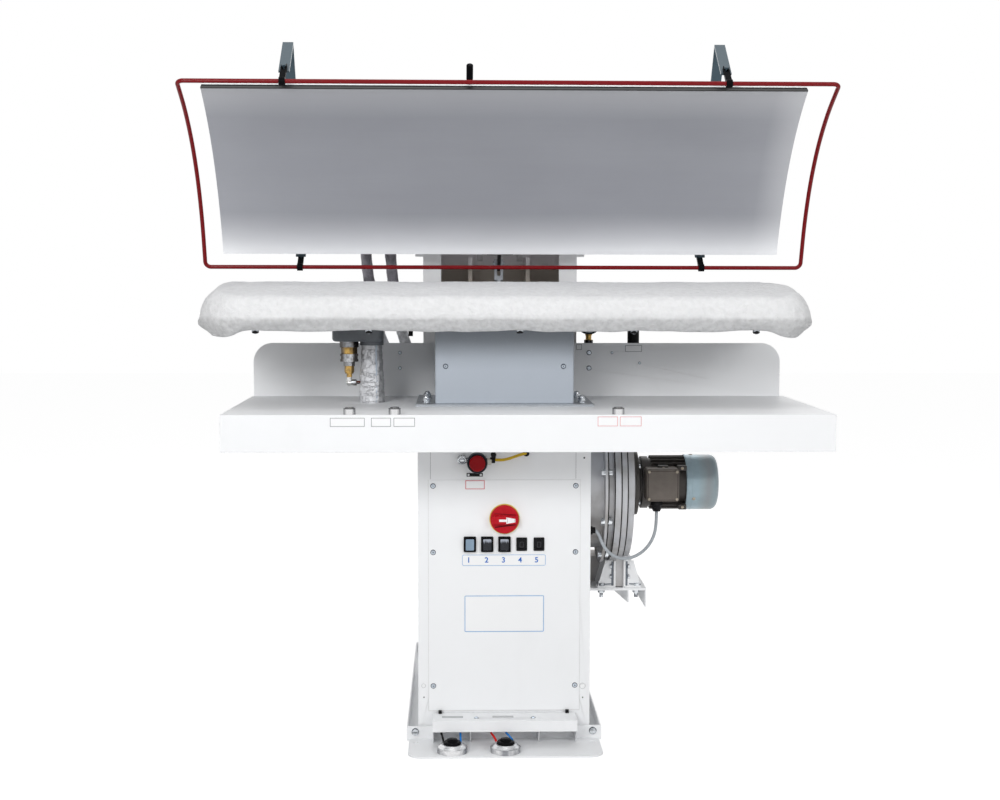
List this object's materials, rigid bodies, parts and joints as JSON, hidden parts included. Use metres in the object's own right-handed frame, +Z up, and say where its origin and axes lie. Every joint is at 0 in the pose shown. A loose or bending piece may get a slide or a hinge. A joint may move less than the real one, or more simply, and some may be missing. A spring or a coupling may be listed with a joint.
{
  "type": "garment press",
  "caption": "Standing garment press: padded board on a post, hinged heated head with a guard rod, work tray, pneumatic cylinder in the rear column, vacuum blower on the cabinet's side.",
  "frame": {"origin": "on the floor under the middle of the rear column's front face", "axes": "+Z up, front of the press towards -Y, +X to the right seen from the front"},
  "size_m": [1.3028, 0.948, 1.4249],
  "materials": {
    "white_coat": "white powder coat",
    "grey_coat": "mid blue-grey powder coat",
    "strap_paint": "grey-blue paint",
    "head_coat": "pale powder coat",
    "column_steel": "white powder coat",
    "polished_plate": "satin polished pale metal",
    "cast_aluminium": "sand-cast, left bare",
    "turned_aluminium": "turned, bright",
    "pad_cloth": "white cotton cover over a pad",
    "sleeve_cloth": "silvered quilted insulation",
    "bright_steel": "machined, bright",
    "zinc_steel": "zinc plated",
    "chrome_steel": "chrome plated",
    "brass_fitting": "turned brass",
    "cast_grey": "grey painted casting",
    "motor_paint": "dark grey enamel",
    "cowl_zinc": "pale blue-grey zinc",
    "box_plastic": "taupe grey moulding",
    "black_plastic": "black moulding",
    "red_plastic": "red moulding",
    "yellow_plastic": "yellow moulding",
    "clear_cover": "clear soft plastic",
    "red_rod": "glossy red coat",
    "black_rubber": "moulded rubber",
    "hose_rubber": "steam hose",
    "cable_sheath": "grey sheath",
    "air_tube": "soft tube",
    "seal": "seal strip",
    "gauge_case": "dark case with a pale dial"
  },
  "bodies": {
    "root": {"base_frame": "white_coat", "foot_plate": "white_coat", "cabinet_shell": "white_coat", "cabinet_front_panel": "white_coat", "rear_column": "column_steel", "hinge_bearings": "cast_grey", "cylinder_barrel": "cast_aluminium", "table_tray": "white_coat", "post_duct": "bright_steel", "post_cowl": "grey_coat", "board_chest": "cast_aluminium", "board_cover": "pad_cloth", "cover_hooks": "black_plastic", "steam_casting": "cast_grey", "fitting_stack": "brass_fitting", "steam_sleeve": "sleeve_cloth", "steam_manifold": "bright_steel", "steam_hoses": "hose_rubber", "pressure_gauge": "gauge_case", "air_preparation": "black_plastic", "hex_bolts": "zinc_steel", "small_screws": "zinc_steel", "button_collars": "chrome_steel", "isolator_plate": "yellow_plastic", "rocker_frames": "black_plastic", "rocker_covers": "clear_cover", "stop_valve": "black_plastic", "air_tubes": "air_tube", "fan_housing": "cast_aluminium", "motor_body": "motor_paint", "motor_cowl": "cowl_zinc", "terminal_box": "box_plastic", "cable_glands": "black_plastic", "motor_cable": "cable_sheath", "fan_support": "white_coat", "pedal_bases": "turned_aluminium", "pedal_hood": "white_coat"},
    "head": {"head_plate": "polished_plate", "head_gasket": "seal", "head_chest": "cast_aluminium", "head_cover": "head_coat", "head_yoke": "cast_grey", "head_grip": "black_plastic", "guard_straps": "strap_paint"},
    "guard": {"guard_rod": "red_rod", "guard_clips": "black_plastic"},
    "cylinder_rod": {"cylinder_rod": "bright_steel"},
    "button_left": {"push_button_left": "chrome_steel"},
    "button_middle": {"push_button_middle": "chrome_steel"},
    "button_right": {"push_button_right": "chrome_steel"},
    "main_switch": {"isolator_knob": "red_plastic"},
    "stop": {"stop_button": "red_plastic"},
    "pedal_left": {"pedal_dome_left": "black_rubber"},
    "pedal_right": {"pedal_dome_right": "black_rubber"},
    "fan_wheel": {"fan_impeller": "cast_aluminium"},
    "rocker_1": {"rocker_1": "black_plastic"},
    "rocker_2": {"rocker_2": "black_plastic"},
    "rocker_3": {"rocker_3": "black_plastic"},
    "rocker_4": {"rocker_4": "black_plastic"},
    "rocker_5": {"rocker_5": "black_plastic"}
  },
  "joints": [
    {"name": "head_hinge", "type": "hinge", "parent": "root", "child": "head", "pos_m": [0, 0.0272, 1.0262], "axis": [1, 0, 0], "range_deg": [0, 49.8], "deforming": ["steam_hoses"]},
    {"name": "cylinder_slide", "type": "slide", "parent": "root", "child": "cylinder_rod", "axis": [0, 0, 1], "range_m": [0, 0.0845]},
    {"name": "guard_slide", "type": "slide", "parent": "head", "child": "guard", "axis": [0, 0.7638, 0.6455], "range_m": [0, 0.01]},
    {"name": "button_left_press", "type": "slide", "parent": "root", "child": "button_left", "axis": [0, 0, -1], "range_m": [0, 0.003], "stiffness_N_per_m": 400, "springref_m": -0.001},
    {"name": "button_middle_press", "type": "slide", "parent": "root", "child": "button_middle", "axis": [0, 0, -1], "range_m": [0, 0.003], "stiffness_N_per_m": 400, "springref_m": -0.001},
    {"name": "button_right_press", "type": "slide", "parent": "root", "child": "button_right", "axis": [0, 0, -1], "range_m": [0, 0.003], "stiffness_N_per_m": 400, "springref_m": -0.001},
    {"name": "main_switch_turn", "type": "hinge", "parent": "root", "child": "main_switch", "pos_m": [0, -0.335, 0.461], "axis": [0, 1, 0], "range_deg": [0, 90]},
    {"name": "rocker_1_tilt", "type": "hinge", "parent": "root", "child": "rocker_1", "pos_m": [-0.0708, -0.329, 0.4086], "axis": [1, 0, 0], "range_deg": [0, 12]},
    {"name": "rocker_2_tilt", "type": "hinge", "parent": "root", "child": "rocker_2", "pos_m": [-0.0354, -0.329, 0.4086], "axis": [1, 0, 0], "range_deg": [0, 12]},
    {"name": "rocker_3_tilt", "type": "hinge", "parent": "root", "child": "rocker_3", "pos_m": [0, -0.329, 0.4086], "axis": [1, 0, 0], "range_deg": [0, 12]},
    {"name": "rocker_4_tilt", "type": "hinge", "parent": "root", "child": "rocker_4", "pos_m": [0.0354, -0.329, 0.4086], "axis": [1, 0, 0], "range_deg": [0, 12]},
    {"name": "rocker_5_tilt", "type": "hinge", "parent": "root", "child": "rocker_5", "pos_m": [0.0708, -0.329, 0.4086], "axis": [1, 0, 0], "range_deg": [0, 12]},
    {"name": "stop_press", "type": "slide", "parent": "root", "child": "stop", "axis": [0, 1, 0], "range_m": [0, 0.004], "stiffness_N_per_m": 500, "springref_m": -0.001},
    {"name": "pedal_left_press", "type": "slide", "parent": "root", "child": "pedal_left", "axis": [0, 0, -1], "range_m": [0, 0.004], "stiffness_N_per_m": 600, "springref_m": -0.001},
    {"name": "pedal_right_press", "type": "slide", "parent": "root", "child": "pedal_right", "axis": [0, 0, -1], "range_m": [0, 0.004], "stiffness_N_per_m": 600, "springref_m": -0.001},
    {"name": "fan_spin", "type": "hinge", "parent": "root", "child": "fan_wheel", "pos_m": [0.235, -0.165, 0.514], "axis": [1, 0, 0], "continuous": true}
  ],
  "couplings": [
    {"joint": "cylinder_slide", "follows": "head_hinge", "m_per_rad": 0.09677}
  ]
}
